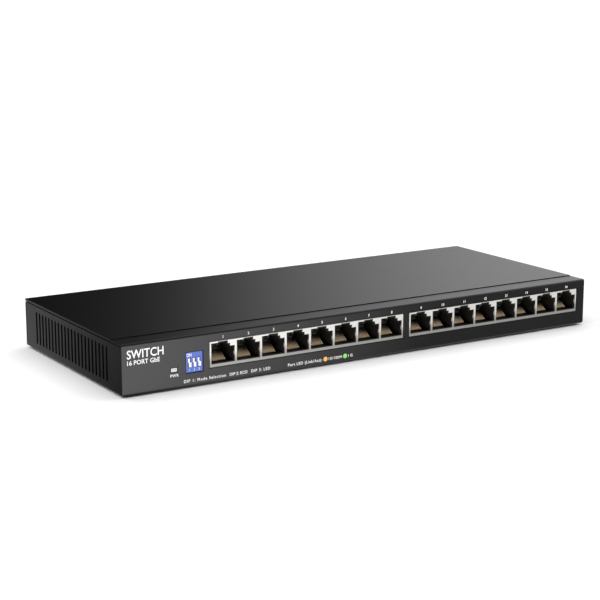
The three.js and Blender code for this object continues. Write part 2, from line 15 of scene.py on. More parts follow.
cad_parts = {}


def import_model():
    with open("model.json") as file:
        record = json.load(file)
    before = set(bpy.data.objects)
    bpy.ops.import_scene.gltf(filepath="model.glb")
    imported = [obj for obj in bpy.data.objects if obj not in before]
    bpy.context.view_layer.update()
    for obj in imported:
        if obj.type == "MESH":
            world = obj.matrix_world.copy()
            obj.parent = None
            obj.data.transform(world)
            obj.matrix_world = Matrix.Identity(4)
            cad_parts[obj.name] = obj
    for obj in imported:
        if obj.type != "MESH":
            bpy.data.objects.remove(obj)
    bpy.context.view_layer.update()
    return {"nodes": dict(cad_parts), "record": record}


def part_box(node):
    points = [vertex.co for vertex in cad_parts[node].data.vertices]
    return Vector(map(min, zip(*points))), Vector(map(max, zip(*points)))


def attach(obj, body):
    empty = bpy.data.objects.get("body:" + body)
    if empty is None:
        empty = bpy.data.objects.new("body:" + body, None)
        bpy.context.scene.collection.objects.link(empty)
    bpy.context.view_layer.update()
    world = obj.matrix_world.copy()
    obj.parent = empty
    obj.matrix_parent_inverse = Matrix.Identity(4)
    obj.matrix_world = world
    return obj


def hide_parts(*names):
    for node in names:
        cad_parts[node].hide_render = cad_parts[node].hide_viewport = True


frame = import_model()

MM = 0.001
CASE_BODY = "switch_case"
SLIDER_BODIES = ("slider_1", "slider_2", "slider_3")

case_low = Vector(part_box("base_chassis")[0])


def place(x, y, z):
    """A point given from the case's left side, front face and underside, in metres in the frame."""
    return Vector((case_low.x + x * MM, case_low.y + y * MM, case_low.z + z * MM))


def from_left(x):
    """The tables' x, in millimetres, of an x in the frame."""
    return (x - case_low.x) / MM


def node_box(node):
    """A node's low and high corners as the tables give places: millimetres from the case's corner."""
    return tuple((Vector(corner) - case_low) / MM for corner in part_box(node))


# ---------------------------------------------------------------- materials


class Nodes:
    """A material's node tree with short ways to add what the materials below share."""

    def __init__(self, name):
        self.material = bpy.data.materials.new(name)
        self.material.use_nodes = True
        self.tree = self.material.node_tree
        self.shader = self.tree.nodes["Principled BSDF"]
        coordinates = self.tree.nodes.new("ShaderNodeTexCoord")
        self.position = coordinates.outputs["Object"]

    def set(self, **values):
        """Constants on the shader, named like its sockets with _ for each space."""
        for key, value in values.items():
            self.shader.inputs[key.replace("_", " ")].default_value = value

    def add(self, kind, **inputs):
        """A node with its inputs linked to sockets or set to constants."""
        node = self.tree.nodes.new(kind)
        for key, value in inputs.items():
            if isinstance(value, bpy.types.NodeSocket):
                self.tree.links.new(value, node.inputs[key])
            else:
                node.inputs[key].default_value = value
        return node

    def stretched(self, x, y, z):
        """The position in millimetres, scaled by a factor along each axis."""
        return self.add("ShaderNodeMapping", Vector=self.position, Scale=(x / MM, y / MM, z / MM)).outputs[0]

    def noise(self, size, detail=3.0, vector=None):
        """Noise with features of a size in millimetres."""
        vector = vector or self.stretched(1, 1, 1)
        made = self.add("ShaderNodeTexNoise", Vector=vector, Scale=1.0 / size, Detail=detail, Roughness=0.55)
        return made.outputs["Fac"]

    def ramp(self, value, low, high):
        """A value from 0 to 1 mapped to a range of numbers."""
        made = self.add("ShaderNodeMapRange", Value=value)
        made.inputs["To Min"].default_value = low
        made.inputs["To Max"].default_value = high
        return made.outputs["Result"]

    def rise(self, direction, span):
        """0 to 1 over a span of the position's dot product with a direction, in millimetres, then level."""
        towards = self.tree.nodes.new("ShaderNodeVectorMath")
        towards.operation = "DOT_PRODUCT"
        self.tree.links.new(self.position, towards.inputs[0])
        towards.inputs[1].default_value = direction
        made = self.add("ShaderNodeMapRange", Value=towards.outputs["Value"])
        made.inputs["From Min"].default_value, made.inputs["From Max"].default_value = (v * MM for v in span)
        return made.outputs["Result"]

    def mix(self, value, first, second):
        """Two colours mixed by a value."""
        made = self.tree.nodes.new("ShaderNodeMix")
        made.data_type = "RGBA"
        self.tree.links.new(value, made.inputs["Factor"])
        for socket, colour in ((made.inputs[6], first), (made.inputs[7], second)):
            if isinstance(colour, bpy.types.NodeSocket):
                self.tree.links.new(colour, socket)
            else:
                socket.default_value = (*colour, 1.0)
        return made.outputs[2]

    def colour(self, value):
        """The base colour from a socket."""
        self.tree.links.new(value, self.shader.inputs["Base Color"])

    def rough(self, value, low, high):
        """The roughness from a value of 0 to 1, between two roughnesses."""
        self.tree.links.new(self.ramp(value, low, high), self.shader.inputs["Roughness"])

    def bump(self, height, depth):
        """Bump from a height of 0 to 1 that stands for a depth in millimetres."""
        made = self.add("ShaderNodeBump", Height=height, Strength=1.0, Distance=depth * MM)
        self.tree.links.new(made.outputs["Normal"], self.shader.inputs["Normal"])


def powder_coat():
    """Black powder coat with a fine grain."""
    m = Nodes("powder_coat")
    m.set(IOR=1.6)
    grain = m.noise(0.35, detail=2.0)
    cloud = m.noise(30.0)
    m.colour(m.mix(cloud, (0.0045, 0.0045, 0.0048), (0.006, 0.006, 0.0063)))
    m.rough(m.noise(2.5), 0.29, 0.34)
    m.bump(grain, 0.012)
    return m.material


# Heights above the case's underside between which the painted shade on the shield fades out and the painted
# shade on the wires sets in.
SHIELD_PAINTED_SHADE_SPAN = (10.3, 13.9)
WIRES_PAINTED_SHADE_SPAN = (9.7, 12.3)


def up_the_case(m, heights):
    """0 to 1 between two heights above the case's underside."""
    underside = case_low.z / MM
    return m.rise((0, 0, 1), tuple(underside + height for height in heights))


def nickel():
    """Satin nickel plate, with painted shade that makes it greyer over the lower half of the jacks."""
    m = Nodes("nickel_plate")
    m.set(Metallic=0.35)
    brushed = m.noise(0.12, vector=m.stretched(0.08, 1, 1))
    unshaded_nickel = m.mix(m.noise(4.0), (0.66, 0.65, 0.62), (0.60, 0.59, 0.56))
    painted_shade_nickel = m.mix(m.noise(4.0), (0.29, 0.283, 0.268), (0.26, 0.253, 0.24))
    # Painted shade: the greyer tone below stands for shade and a dim reflection low on the jacks, not for a
    # change in the plate.
    m.colour(m.mix(up_the_case(m, SHIELD_PAINTED_SHADE_SPAN), painted_shade_nickel, unshaded_nickel))
    m.rough(brushed, 0.3, 0.45)
    m.bump(brushed, 0.004)
    return m.material


def moulded(name, dark, light, roughness, grain=0.15, depth=0.004, gloss=0.5):
    """A moulded plastic: a close range of colour, a fine grain and an even gloss."""
    m = Nodes(name)
    m.set(Specular_IOR_Level=gloss)
    m.colour(m.mix(m.noise(3.0), dark, light))
    m.rough(m.noise(0.8), roughness - 0.05, roughness + 0.07)
    m.bump(m.noise(grain), depth)
    return m.material


def gold():
    """Gold plate, with painted shade that darkens it towards the wires' free ends."""
    m = Nodes("gold_plate")
    m.set(Metallic=0.55)
    drawn = m.noise(0.05, vector=m.stretched(1, 0.1, 1))
    bright = m.mix(m.noise(1.2), (0.90, 0.67, 0.42), (0.98, 0.78, 0.52))
    dark = m.mix(m.noise(1.2), (0.16, 0.12, 0.08), (0.20, 0.15, 0.10))
    # Painted shade: the dark gold towards the free ends stands for the shade that falls on the upper wires
    # inside the port.
    m.colour(m.mix(up_the_case(m, WIRES_PAINTED_SHADE_SPAN), bright, dark))
    m.rough(drawn, 0.36, 0.5)
    m.bump(drawn, 0.002)
    return m.material


def clear_plastic(name, colour, roughness, through, gloss=0.5):
    """Clear or milky plastic. through is the share of the light that passes into it."""
    m = Nodes(name)
    m.set(IOR=1.49, Transmission_Weight=through, Specular_IOR_Level=gloss)
    m.colour(m.mix(m.noise(0.9), colour, tuple(0.85 * c for c in colour)))
    m.rough(m.noise(0.3), roughness, roughness + 0.1)
    return m.material


def circuit_board():
    """Green solder mask with raised tracks under it."""
    m = Nodes("solder_mask")
    m.set(IOR=1.5, Coat_Weight=0.3, Coat_Roughness=0.15)
    across = m.add("ShaderNodeTexBrick", Vector=m.stretched(1, 1, 1), Scale=0.22)
    bricks = {"Mortar Size": 0.018, "Brick Width": 2.3, "Row Height": 0.2, "Mortar Smooth": 0.2}
    for name, value in bricks.items():
        across.inputs[name].default_value = value
    tracks = across.outputs["Fac"]
    m.colour(m.mix(tracks, (0.008, 0.075, 0.030), (0.016, 0.125, 0.050)))
    m.rough(m.noise(1.5), 0.28, 0.42)
    m.bump(tracks, 0.03)
    return m.material


def turned_metal(name, dark, light, low, high):
    """A plain metal, mottled, with fine scratches that run from front to back."""
    m = Nodes(name)
    m.set(Metallic=1.0)
    scratches = m.noise(0.09, detail=4.0, vector=m.stretched(1, 0.15, 1))
    m.colour(m.mix(m.noise(1.6), dark, light))
    m.rough(scratches, low, high)
    m.bump(scratches, 0.004)
    return m.material


def rubber():
    """Dull black rubber."""
    m = Nodes("rubber")
    m.colour(m.mix(m.noise(2.0), (0.012, 0.012, 0.012), (0.024, 0.024, 0.023)))
    m.rough(m.noise(0.5), 0.75, 0.92)
    m.bump(m.noise(0.18), 0.02)
    return m.material


def ink(name, colour):
    """Screen-printed ink: nearly flat, a little uneven where the print is thin."""
    m = Nodes(name)
    thin = tuple(0.88 * c for c in colour)
    m.colour(m.mix(m.noise(0.4), thin, colour))
    m.rough(m.noise(0.2), 0.5, 0.62)
    m.bump(m.noise(0.12), 0.004)
    return m.material


MATERIALS = {
    "powder": powder_coat(),
    "nickel": nickel(),
    "black": moulded("black_plastic", (0.036, 0.034, 0.030), (0.046, 0.043, 0.038), 0.55, gloss=0.1),
    "blue": moulded("blue_plastic", (0.068, 0.110, 0.40), (0.080, 0.128, 0.45), 0.4),
    "white": moulded("white_plastic", (0.86, 0.86, 0.85), (0.93, 0.93, 0.92), 0.38),
    "epoxy": moulded("chip_epoxy", (0.012, 0.012, 0.013), (0.02, 0.02, 0.021), 0.6, grain=0.1, depth=0.01),
    "sleeve": moulded("capacitor_sleeve", (0.012, 0.014, 0.03), (0.018, 0.022, 0.042), 0.3),
    "gold": gold(),
    "smoke": clear_plastic("smoked_light_pipe", (0.012, 0.012, 0.011), 0.4, 0.05, gloss=0.2),
    "milk": clear_plastic("milky_light_pipe", (0.62, 0.63, 0.60), 0.3, 0.1),
    "board": circuit_board(),
    "aluminium": turned_metal("extruded_aluminium", (0.58, 0.59, 0.60), (0.70, 0.71, 0.72), 0.28, 0.42),
    "tin": turned_metal("tinned_leads", (0.66, 0.66, 0.64), (0.78, 0.78, 0.76), 0.3, 0.45),
    "screw": turned_metal("black_zinc", (0.05, 0.05, 0.055), (0.09, 0.09, 0.095), 0.3, 0.45),
    "rubber": rubber(),
    "white_ink": ink("white_ink", (0.82, 0.82, 0.81)),
    "blue_ink": ink("pale_blue_ink", (0.45, 0.55, 0.90)),
    "orange_ink": ink("orange_ink", (0.92, 0.42, 0.09)),
    "green_ink": ink("green_ink", (0.20, 0.66, 0.12)),
}

# ---------------------------------------------------------------- making pieces

SHARP_ANGLE = 30.0  # degrees between two faces, above which their edge is rounded


def piece(name, made, material, body=CASE_BODY, stands_for=()):
    """An object from a bmesh or a mesh, with its material, its body and the CAD nodes that it stands for."""
    mesh = made
    if isinstance(made, bmesh.types.BMesh):
        mesh = bpy.data.meshes.new(name)
        bmesh.ops.recalc_face_normals(made, faces=made.faces)
        made.to_mesh(mesh)
        made.free()
    mesh.materials.clear()
    mesh.materials.append(MATERIALS[material])
    obj = bpy.data.objects.new(name, mesh)
    bpy.context.scene.collection.objects.link(obj)
    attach(obj, body)
    if stands_for:
        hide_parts(*stands_for)
    return obj


def round_edges(bm, edges, width):
    """Rounds edges by a width in millimetres."""
    bmesh.ops.bevel(
        bm, geom=edges, offset=width * MM, offset_type="OFFSET", segments=2, profile=0.5,
        affect="EDGES", clamp_overlap=True,
    )


def soften(bm, width):
    """Rounds every sharp edge and leaves smooth shading."""
    sharp = [e for e in bm.edges if len(e.link_faces) == 2 and e.calc_face_angle(0.0) > radians(SHARP_ANGLE)]
    round_edges(bm, sharp, width)
    for face in bm.faces:
        face.smooth = True


def even_normals(obj):
    """Keeps flat faces looking flat next to their rounded edges."""
    made = obj.modifiers.new("even_normals", "WEIGHTED_NORMAL")
    made.mode = "FACE_AREA"
    made.weight = 100
    made.keep_sharp = True


def from_node(node):
    """The CAD node's own shape with its flat faces whole again, as a bmesh."""
    bm = bmesh.new()
    bm.from_mesh(frame["nodes"][node].data)
    bmesh.ops.remove_doubles(bm, verts=bm.verts, dist=0.002 * MM)
    bmesh.ops.dissolve_limit(bm, angle_limit=radians(0.5), verts=bm.verts, edges=bm.edges)
    return bm


def refined(node, material, width, extra=None):
    """A CAD node's shape with its edges rounded, and more geometry from extra(bm) where that is given."""
    bm = from_node(node)
    soften(bm, width)
    if extra:
        extra(bm)
    obj = piece(f"{node}_finished", bm, material, stands_for=(node,))
    even_normals(obj)
    return obj


def add_box(bm, x, y, z, width=0.0):
    """A box between pairs of places, with rounded edges where a width is given."""
    low, high = place(x[0], y[0], z[0]), place(x[1], y[1], z[1])
    matrix = Matrix.Translation((low + high) / 2) @ Matrix.Diagonal((*(high - low), 1.0))
    made = bmesh.ops.create_cube(bm, size=1.0, matrix=matrix)
    if width:
        edges = {e for v in made["verts"] for e in v.link_edges}
        round_edges(bm, list(edges), width)


def boxes(name, rows, material, width, body=CASE_BODY, stands_for=()):
    """One piece of separate rounded boxes, each given by its spans in x, y and z."""
    bm = bmesh.new()
    for x, y, z in rows:
        add_box(bm, x, y, z, width)
    for face in bm.faces:
        face.smooth = True
    obj = piece(name, bm, material, body, stands_for)
    even_normals(obj)
    return obj


def add_sheet(bm, path, thickness, span):
    """A bent upright strip: a path of places in x and y, thickened, between two heights."""
    points = [Vector(p) for p in path]
    normals = []
    for i in range(len(points)):
        before, after = points[max(i - 1, 0)], points[min(i + 1, len(points) - 1)]
        along = (after - before).normalized()
        normals.append(Vector((-along.y, along.x)))
    outline = [p + n * thickness / 2 for p, n in zip(points, normals)]
    outline += [p - n * thickness / 2 for p, n in reversed(list(zip(points, normals)))]
    ends = [[bm.verts.new(place(p.x, p.y, z)) for p in outline] for z in span]
    bm.faces.new(ends[0])
    bm.faces.new(list(reversed(ends[1])))
    count = len(outline)
    for i in range(count):
        j = (i + 1) % count
        bm.faces.new((ends[0][j], ends[0][i], ends[1][i], ends[1][j]))


def add_turned(bm, centre, profile, axis, segments=32):
    """A turned shape: (radius, height) pairs about an axis, from one end of the axis to the other."""
    turn = Vector((0, 0, 1)).rotation_difference(Vector(axis)).to_matrix()
    rings = []
    for radius, height in profile:
        if radius == 0:
            rings.append([bm.verts.new(centre + turn @ Vector((0, 0, height * MM)))])
            continue
        angles = [2 * pi * k / segments for k in range(segments)]
        offsets = [Vector((radius * MM * cos(a), radius * MM * sin(a), height * MM)) for a in angles]
        rings.append([bm.verts.new(centre + turn @ o) for o in offsets])
    for lower, upper in zip(rings, rings[1:]):
        for k in range(segments):
            n = (k + 1) % segments
            corners = [lower[k % len(lower)], lower[n % len(lower)]]
            corners += [upper[n % len(upper)], upper[k % len(upper)]]
            distinct = list(dict.fromkeys(corners))
            if len(distinct) > 2:
                face = bm.faces.new(distinct)
                face.smooth = True


def tubes(name, paths, radius, material, stands_for):
    """Round wires along smooth paths of places, as one mesh with closed ends."""
    curve = bpy.data.curves.new(name, "CURVE")
    curve.dimensions = "3D"
    curve.bevel_depth = radius * MM
    curve.bevel_resolution = 2
    curve.resolution_u = 4
    curve.use_fill_caps = True
    for path in paths:
        spline = curve.splines.new("BEZIER")
        spline.bezier_points.add(len(path) - 1)
        for point, p in zip(spline.bezier_points, path):
            point.co = place(*p)
            point.handle_left_type = point.handle_right_type = "AUTO"
    carrier = bpy.data.objects.new(name, curve)
    mesh = bpy.data.meshes.new_from_object(carrier)
    bpy.data.objects.remove(carrier)
    bpy.data.curves.remove(curve)
    mesh.name = name
    for polygon in mesh.polygons:
        polygon.use_smooth = True
    piece(name, mesh, material, stands_for=stands_for)


# ---------------------------------------------------------------- case


def case():
    """The painted case with its feet and screws. Returns the painted pieces."""
    paintwork = [refined("base_chassis", "powder", 0.12), refined("top_cover", "powder", 0.2)]
    for end in ("front", "rear"):
        for side in ("left", "right"):
            refined(f"foot_{end}_{side}", "rubber", 0.25)
    for i in (1, 2, 3):
        refined(f"cover_screw_{i}", "screw", 0.06)
    for i in (1, 2, 3, 4):
        refined(f"board_screw_{i}", "screw", 0.08)
    return paintwork


# ---------------------------------------------------------------- jacks

PORT_BOXES = [o["box_m"] for o in frame["record"]["physics"]["openings"] if o["name"].startswith("port_")]
PORT_X = [from_left((low[0] + high[0]) / 2) for low, high in PORT_BOXES]
WINDOW_HALF = 6.4  # half width of a port's opening in the shield
PLUG_FLOOR = 9.4
PLUG_BACK = 13.5
PORTS = {"left": range(0, 8), "right": range(8, 16)}
WIRES = 8
WIRE_PITCH = 1.02
WIRE_RADIUS = 0.25
WIRE_FOOT = (5.4, 9.45)  # where a wire leaves the floor, in y and z
WIRE_TIP = (11.2, 13.7)  # its free end
RIB_HALF = 0.2  # half thickness of the ribs between the wires
REAR_RIB_TOP = 14.4
REAR_RIB_START = WIRE_TIP[0] - 0.4
INSERT_TOP = PLUG_FLOOR - 0.2
WIRE_ROOT = ((0.7, 0.9), (0.45, 0.35))  # a wire's hidden start: in front of its foot and below it
# A wire's bend: share of the way from its foot to its tip, and height over the straight line between them.
WIRE_BOW = ((0.05, 0.0), (0.3, 0.1), (0.6, 0.12), (0.9, 0.0), (1.0, -0.12))
EAR = {"low": 12.1, "high": 13.9, "thickness": 0.12}
# An ear's bend: how far it stands into the opening, and how far back.
EAR_BEND = ((-0.05, 0.45), (0.06, 0.3), (0.24, 0.6), (0.34, 1.3), (0.24, 2.3), (0.05, 3.4))


def wire_x(port, i):
    """The x of one of a port's wires, counted from the left."""
    return PORT_X[port] + (i - (WIRES - 1) / 2) * WIRE_PITCH


def rib(port, i):
    """The span in x of the rib on the left of a wire, or of the last rib after the wires."""
    x = wire_x(port, i) - WIRE_PITCH / 2
    return x - RIB_HALF, x + RIB_HALF


def shield_ears(bm, ports):
    """The pair of sprung ears folded into each port's opening, which press on a shielded plug's sides."""
    for port in ports:
        for side in (-1, 1):
            edge = PORT_X[port] + side * WINDOW_HALF
            path = [(edge - side * inward, back) for inward, back in EAR_BEND]
            add_sheet(bm, path, EAR["thickness"], (EAR["low"], EAR["high"]))


def rear_comb(bm, ports):
    """The ribs at the back of each port that keep the wires' free ends apart."""
    for port in ports:
        for i in range(WIRES + 1):
            add_box(bm, rib(port, i), (REAR_RIB_START, PLUG_BACK + 0.2), (PLUG_FLOOR - 0.1, REAR_RIB_TOP))


def front_comb(port):
    """The insert that carries a port's wires, with the ribs between them where they leave the floor."""
    low, high = node_box(f"port_contacts_{port + 1:02d}")
    rows = [((low.x, high.x), (low.y, high.y), (low.z, INSERT_TOP))]
    for i in range(WIRES + 1):
        rows.append((rib(port, i), (low.y + 0.2, WIRE_FOOT[0] + 0.7), (INSERT_TOP - 0.1, PLUG_FLOOR + 0.1)))
    return boxes(f"port_insert_{port + 1:02d}", rows, "black", 0.05)


def contact_wires(port):
    """Eight spring wires: up out of the insert, then back and up to the rear comb with a slight bow."""
    (foot_y, foot_z), (tip_y, tip_z) = WIRE_FOOT, WIRE_TIP
    run, rise = tip_y - foot_y, tip_z - foot_z
    path = [(foot_y - forward, foot_z - down) for forward, down in WIRE_ROOT]
    path += [(foot_y + share * run, foot_z + share * rise + bow) for share, bow in WIRE_BOW]
    paths = [[(wire_x(port, i), y, z) for y, z in path] for i in range(WIRES)]
    name = f"port_wires_{port + 1:02d}"
    tubes(name, paths, WIRE_RADIUS, "gold", stands_for=(f"port_contacts_{port + 1:02d}",))


def jacks():
    """Both rows of jacks. Returns their black plastic."""
    plastic = []
    for side, ports in PORTS.items():
        ears, ribs = partial(shield_ears, ports=ports), partial(rear_comb, ports=ports)
        refined(f"jack_shield_{side}", "nickel", 0.07, extra=ears)
        plastic.append(refined(f"jack_housing_{side}", "black", 0.08, extra=ribs))
        refined(f"port_light_pipe_{side}", "smoke", 0.12)
    for port in range(len(PORT_X)):
        contact_wires(port)
        plastic.append(front_comb(port))
    return plastic


# ---------------------------------------------------------------- DIP switch and power light

DIP_PITCH = 2.54
# A pin runs back out of the body and then down; both heights are over the body's underside.
DIP_PIN = {"half": 0.25, "thickness": 0.2, "reach": 1.2, "run": (1.1, 1.35), "leg": (-1.6, 1.2)}
KNOB = {"half": 0.6, "low": 9.45, "high": 11.55, "groove": 0.1, "groove_depth": 0.2}
TONGUE = {"half": 0.4, "depth": 0.8, "plate": 0.5}


def slider(i):
    """A white slider: a raised knob with a finger line across it, on a tongue that fills the slot."""
    node = f"dip_slider_{i + 1}"
    low, high = node_box(node)
    middle = (low.x + high.x) / 2
    half, groove, depth = KNOB["half"], KNOB["groove"], KNOB["groove_depth"]
    centre = (KNOB["low"] + KNOB["high"]) / 2
    root = high.y - 0.2
    across, core = (middle - half, middle + half), (middle - half + 0.1, middle + half - 0.1)
    stem = (middle - TONGUE["half"], middle + TONGUE["half"])
    rows = [
        (across, (low.y, root), (KNOB["low"], centre - groove / 2)),
        (across, (low.y, root), (centre + groove / 2, KNOB["high"])),
        (core, (low.y + depth, root), (KNOB["low"] + 0.1, KNOB["high"] - 0.1)),
        (stem, (high.y - TONGUE["depth"], high.y), (low.z + 0.1, high.z - 0.1)),
        ((low.x, high.x), (high.y - TONGUE["plate"], high.y), (low.z, high.z)),
    ]
    boxes(f"{node}_finished", rows, "white", 0.08, SLIDER_BODIES[i], stands_for=(node,))


def dip_switch():
    """The blue DIP switch with its sliders and bent pins, and the power light on its left."""
    refined("dip_switch_body", "blue", 0.1)
    low, high = node_box("dip_switch_body")
    pins = []
    for i in range(3):
        slider(i)
        x = (low.x + high.x) / 2 + (i - 1) * DIP_PITCH
        across, back = (x - DIP_PIN["half"], x + DIP_PIN["half"]), high.y + DIP_PIN["reach"]
        run, leg = (tuple(low.z + height for height in DIP_PIN[part]) for part in ("run", "leg"))
        pins.append((across, (high.y - 0.05, back), run))
        pins.append((across, (back - DIP_PIN["thickness"], back), leg))
    boxes("dip_switch_pins", pins, "tin", 0.04)
    refined("power_light_pipe", "milk", 0.12)
    refined("power_led", "milk", 0.05)


# ---------------------------------------------------------------- inside and rear

CHIP_LEADS = {"pitch": 0.8, "length": 1.1, "height": 0.35, "clear_ends": 1.5}
TRANSFORMER_PINS = {"pitch": 1.27, "half": 0.22, "length": 1.3, "height": 0.4, "clear_ends": 1.5}
UNDER_PACKAGE = 0.1  # how far a lead starts inside the package's side
CAN_TOP = ((0, 0.02), (3.3, 0.02), (3.4, -0.1), (0, -0.1))  # radius, and height over the sleeve


def chip_leads(bm, low, high, board):
    """Flat leads on the board along a chip's left and right sides."""
    pitch = CHIP_LEADS["pitch"]
    centre, size = (low + high) / 2, high - low
    count = int((size.y - CHIP_LEADS["clear_ends"]) // pitch)
    for side in (-1, 1):
        edge = side * (size.x / 2)
        foot = sorted((edge - side * UNDER_PACKAGE, edge + side * CHIP_LEADS["length"]))
        x = (centre.x + foot[0], centre.x + foot[1])
        for k in range(count):
            y = centre.y + (k - (count - 1) / 2) * pitch
            add_box(bm, x, (y - pitch / 5, y + pitch / 5), (board, board + CHIP_LEADS["height"]))


def transformer_pins(bm, low, high, board):
    """Pins on the board along a transformer's front and rear sides."""
    pitch, half = TRANSFORMER_PINS["pitch"], TRANSFORMER_PINS["half"]
    count = int((high.x - low.x - TRANSFORMER_PINS["clear_ends"]) // pitch)
    for k in range(count):
        x = (low.x + high.x) / 2 + (k - (count - 1) / 2) * pitch
        for edge, side in ((low.y, -1), (high.y, 1)):
            y = sorted((edge - side * UNDER_PACKAGE, edge + side * TRANSFORMER_PINS["length"]))
            add_box(bm, (x - half, x + half), y, (board, board + TRANSFORMER_PINS["height"]))


def package(node, width, make_pins, pins_name, board):
    """A black package with its tinned pins as a second piece."""
    refined(node, "epoxy", width)
    bm = bmesh.new()
    make_pins(bm, *node_box(node), board)
    even_normals(piece(pins_name, bm, "tin"))


def board_and_parts():
    """The board with its chips, heatsinks, transformers and power parts."""
    refined("main_board", "board", 0.05)
    board = node_box("main_board")[1].z
    for node in ("switch_chip", "phy_chip"):
        package(node, 0.12, chip_leads, f"{node}_leads", board)
    for node in ("switch_heatsink", "phy_heatsink"):
        refined(node, "aluminium", 0.12)
    for i in range(1, 5):
        node = f"port_transformer_{i}"
        package(node, 0.35, transformer_pins, f"{node}_pins", board)
    for i in (1, 2):
        node = f"capacitor_{i}"
        refined(node, "sleeve", 0.3)
        low, high = node_box(node)
        bm = bmesh.new()
        top = place((low.x + high.x) / 2, (low.y + high.y) / 2, high.z)
        add_turned(bm, top, CAN_TOP, (0, 0, 1))
        piece(f"{node}_top", bm, "aluminium")
    refined("power_inductor", "epoxy", 0.6)
    refined("crystal", "nickel", 0.3)


def dc_inlet():
    """The DC inlet on the rear wall."""
    refined("dc_inlet_housing", "black", 0.15)
    refined("dc_inlet_pin", "nickel", 0.2)
    refined("dc_inlet_contact_leaf", "nickel", 0.08)


# ---------------------------------------------------------------- print

FRONT_PRINT = 0.012  # how far the ink stands off the front panel
FONT_CAPITAL = 0.682  # height of a capital in the built-in font at size 1
FONT_WEIGHT = 0.012  # how much thicker than plain each stroke is, on each side
LOWER_LINE = (2.0, 1.4)  # baseline and capitals of the line of legends under the ports
LOWER_FIGURES = (2.0, 1.35)
DOT_HEIGHT = 2.75
DOT_RADIUS = 1.2


def text_mesh(text, spacing):
    """Text in the built-in font at size 1, with the space between its letters scaled by spacing."""
    curve = bpy.data.curves.new("print", "FONT")
    curve.body = text
    curve.space_character = spacing
    curve.resolution_u = 3
    curve.extrude = 0.5
    curve.offset = FONT_WEIGHT
    carrier = bpy.data.objects.new("print", curve)
    mesh = bpy.data.meshes.new_from_object(carrier)
    bpy.data.objects.remove(carrier)
    bpy.data.curves.remove(curve)
    return mesh


def text_span(mesh):
    """The left and right ends of a text's ink."""
    across = [vertex.co.x for vertex in mesh.vertices]
    return min(across), max(across)


def text_width(text, spacing):
    """The width of the ink of a text at size 1."""
    mesh = text_mesh(text, spacing)
    left, right = text_span(mesh)
    bpy.data.meshes.remove(mesh)
    return right - left


def letters(text, x, baseline, capital, y):
    """Text as thin raised print on the upright face at y.

    x is either the span that the text fills, by wider gaps or narrower letters, or the middle that it is
    centred on.
    """
    scale = capital / FONT_CAPITAL
    spacing, squeeze = 1.0, 1.0
    if isinstance(x, tuple):
        natural, wanted = text_width(text, 1.0), (x[1] - x[0]) / scale
        if wanted > natural:
            spacing += (wanted - natural) / (text_width(text, 2.0) - natural)
        else:
            squeeze = wanted / natural
    mesh = text_mesh(text, spacing)
    left, right = text_span(mesh)
    start = x[0] if isinstance(x, tuple) else x - scale * (right - left) / 2
    for vertex in mesh.vertices:
        across, up, out = vertex.co
        along = start + scale * squeeze * (across - left)
        vertex.co = place(along, y - 2 * out * FRONT_PRINT, baseline + scale * up)
    mesh.flip_normals()
    return mesh


def legend(name, rows, y=0.0, material="white_ink"):
    """One piece of print from rows of text, span or middle in x, baseline and height of the capitals."""
    bm = bmesh.new()
    for text, x, baseline, capital in rows:
        mesh = letters(text, x, baseline, capital, y)
        bm.from_mesh(mesh)
        bpy.data.meshes.remove(mesh)
    piece(name, bm, material)


def dot(name, x, z, material):
    """A round spot of ink on the front panel."""
    bm = bmesh.new()
    profile = [(0, FRONT_PRINT), (DOT_RADIUS - 0.05, FRONT_PRINT), (DOT_RADIUS, 0), (0, 0)]
    add_turned(bm, place(x, 0, z), profile, (0, -1, 0), segments=40)
    piece(name, bm, material)


def printing():
    """Every legend and number, on the front panel and on the DIP switch."""
    legend("name_print", [("SWITCH", (2.7, 21.6), 17.6, 3.9)])
    legend("type_print", [("16 PORT GbE", (2.8, 19.6), 14.5, 2.05)])
    legend("power_print", [("PWR", (24.9, 29.3), 5.7, 1.35)])
    legend("port_numbers", [(str(port + 1), x, 21.2, 1.3) for port, x in enumerate(PORT_X)])
    legend("dip_print", [
        ("DIP 1: Mode Selection", (32.0, 54.6), *LOWER_LINE),
        ("DIP 2: ECO", (56.7, 66.5), *LOWER_LINE),
        ("DIP 3: LED", (68.6, 79.3), *LOWER_LINE),
    ])
    legend("lamp_print", [
        ("Port LED (Link/Act):", (89.4, 109.2), *LOWER_LINE),
        ("10/100M", (113.1, 120.9), *LOWER_FIGURES),
        ("1G", (124.7, 127.3), *LOWER_FIGURES),
    ])
    dot("slow_dot_print", 111.2, DOT_HEIGHT, "orange_ink")
    dot("fast_dot_print", 122.85, DOT_HEIGHT, "green_ink")
    low, high = node_box("dip_switch_body")
    middle = (low.x + high.x) / 2
    legend("dip_on_print", [("ON", (low.x + 0.35, low.x + 2.9), 14.35, 1.55)], low.y)
    numbers = [(str(i + 1), middle + (i - 1) * DIP_PITCH, 7.3, 1.25) for i in range(3)]
    legend("dip_numbers_print", numbers, low.y, "blue_ink")


# ---------------------------------------------------------------- studio

# Angles are in degrees and azimuths are counted from +Y towards +X. The camera looks towards its azimuth, and
# the panel and the lights stand at theirs.
CAMERA_AZIMUTH = 31.8
CAMERA_ELEVATION = 12.59
CAMERA_PLACE = (-0.4381, -0.6936, 0.20275)
CAMERA_LENS = 94.36
FLOOR_HALF = 30.0
UNDER_FLOOR = -0.0001
WORLD_LIGHT = 0.005
# The panel's edge fades between two angles from its middle.
PANEL = {"azimuth": 84.0, "elevation": 15.0, "outer": 55.5, "inner": 43.5, "strength": 1.25}
SKY = {"azimuth": 270.0, "elevation": 76.0, "strength": 4.1, "spread": 112.0}
KEY = {"azimuth": 165.0, "elevation": 37.0, "strength": 3.6, "spread": 25.0}
